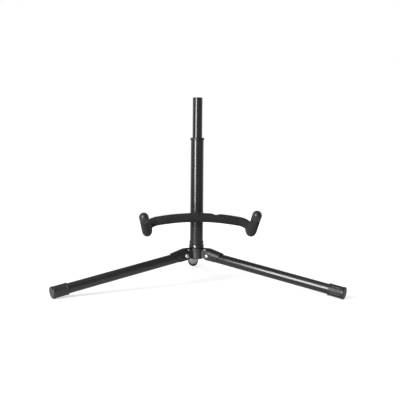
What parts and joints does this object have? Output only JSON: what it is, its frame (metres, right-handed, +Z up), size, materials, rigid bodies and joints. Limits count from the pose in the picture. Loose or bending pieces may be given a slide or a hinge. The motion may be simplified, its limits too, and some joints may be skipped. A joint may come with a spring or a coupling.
{
  "type": "instrument stand",
  "caption": "Black tubular floor stand for an instrument: a telescoping column on folding tube legs, with a foam-padded U-shaped yoke in front that holds the body.",
  "frame": {"origin": "middle of the footprint's bounding box, on the floor under the feet", "axes": "+Z up along the column; the padded yoke faces -Y and one leg points to +Y; +X is to the right as seen from the yoke's side"},
  "size_m": [0.5326, 0.463, 0.3677],
  "materials": {
    "gloss_black": "gloss powder coat",
    "satin_black": "satin powder coat",
    "hub_metal": "satin dark zinc finish",
    "rivet_steel": "bright zinc plating",
    "bare_steel": "oiled steel",
    "black_plastic": "moulded, fine satin",
    "lock_plastic": "moulded nylon",
    "black_rubber": "matte moulded rubber",
    "black_foam": "closed-cell foam with a matte skin"
  },
  "bodies": {
    "stand": {"lower_tube": "gloss_black", "top_bush": "black_plastic", "stop_washer": "satin_black", "column_collar": "black_plastic", "collar_screw": "rivet_steel", "hub": "hub_metal", "yoke_rod": "bare_steel", "yoke_boss": "satin_black", "yoke_pad_left": "black_foam", "yoke_pad_right": "black_foam", "yoke_tip_left": "black_rubber", "yoke_tip_right": "black_rubber"},
    "lock_carriage": {"lock_cone": "lock_plastic", "lock_sleeve": "lock_plastic"},
    "upper_column": {"upper_tube": "gloss_black", "upper_tube_plug": "lock_plastic", "lock_stud": "bare_steel"},
    "leg_rear": {"leg_tube_rear": "gloss_black", "leg_foot_rear": "black_rubber", "leg_bracket_rear": "satin_black", "leg_pivot_rear": "rivet_steel", "leg_cross_rivet_rear": "satin_black"},
    "leg_left": {"leg_tube_left": "gloss_black", "leg_foot_left": "black_rubber", "leg_bracket_left": "satin_black", "leg_pivot_left": "rivet_steel", "leg_cross_rivet_left": "satin_black"},
    "leg_right": {"leg_tube_right": "gloss_black", "leg_foot_right": "black_rubber", "leg_bracket_right": "satin_black", "leg_pivot_right": "rivet_steel", "leg_cross_rivet_right": "satin_black"}
  },
  "joints": [
    {"name": "height_slide", "type": "slide", "parent": "stand", "child": "lock_carriage", "axis": [0, 0, 1], "range_m": [-0.077, 0.061]},
    {"name": "twist_lock", "type": "hinge", "parent": "lock_carriage", "child": "upper_column", "pos_m": [0, -0.07152, 0.19569], "axis": [0, 0, 1], "range_deg": [-180, 0]},
    {"name": "leg_fold_rear", "type": "hinge", "parent": "stand", "child": "leg_rear", "pos_m": [0.00033, -0.04452, 0.06179], "axis": [-0.9999, 0.0122, 0], "range_deg": [0, 80]},
    {"name": "leg_fold_left", "type": "hinge", "parent": "stand", "child": "leg_left", "pos_m": [-0.02338, -0.08502, 0.06179], "axis": [0.5, -0.866, 0], "range_deg": [0, 80]},
    {"name": "leg_fold_right", "type": "hinge", "parent": "stand", "child": "leg_right", "pos_m": [0.02338, -0.08502, 0.06179], "axis": [0.5, 0.866, 0], "range_deg": [0, 80]}
  ]
}
